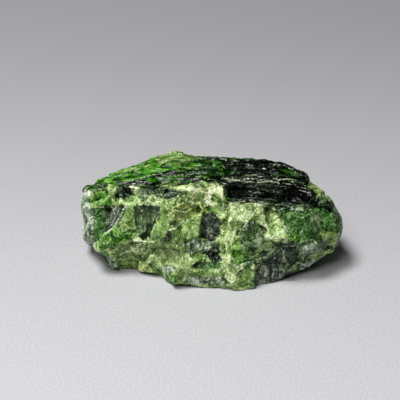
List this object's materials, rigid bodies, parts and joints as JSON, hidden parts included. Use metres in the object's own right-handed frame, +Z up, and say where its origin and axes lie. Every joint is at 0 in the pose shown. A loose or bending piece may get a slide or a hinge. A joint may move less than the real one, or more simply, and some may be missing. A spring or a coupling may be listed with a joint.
{
  "type": "rough chrome diopside specimen",
  "caption": "Oblong broken lump of green mineral with a pale granular front, deep pits and a dark cap of thin parallel cleavage splinters; rests on a small flat spot as a display piece.",
  "frame": {"origin": "middle of the footprint, on the surface that the stone rests on", "axes": "+X along the lump, +Y from the granular front in the picture to the back, +Z up"},
  "size_m": [0.042, 0.0232, 0.0171],
  "materials": {
    "chrome_diopside": "broken crystalline, glassy on cleavage faces and sugary where crushed"
  },
  "bodies": {
    "root": {"diopside": "chrome_diopside"}
  },
  "joints": []
}
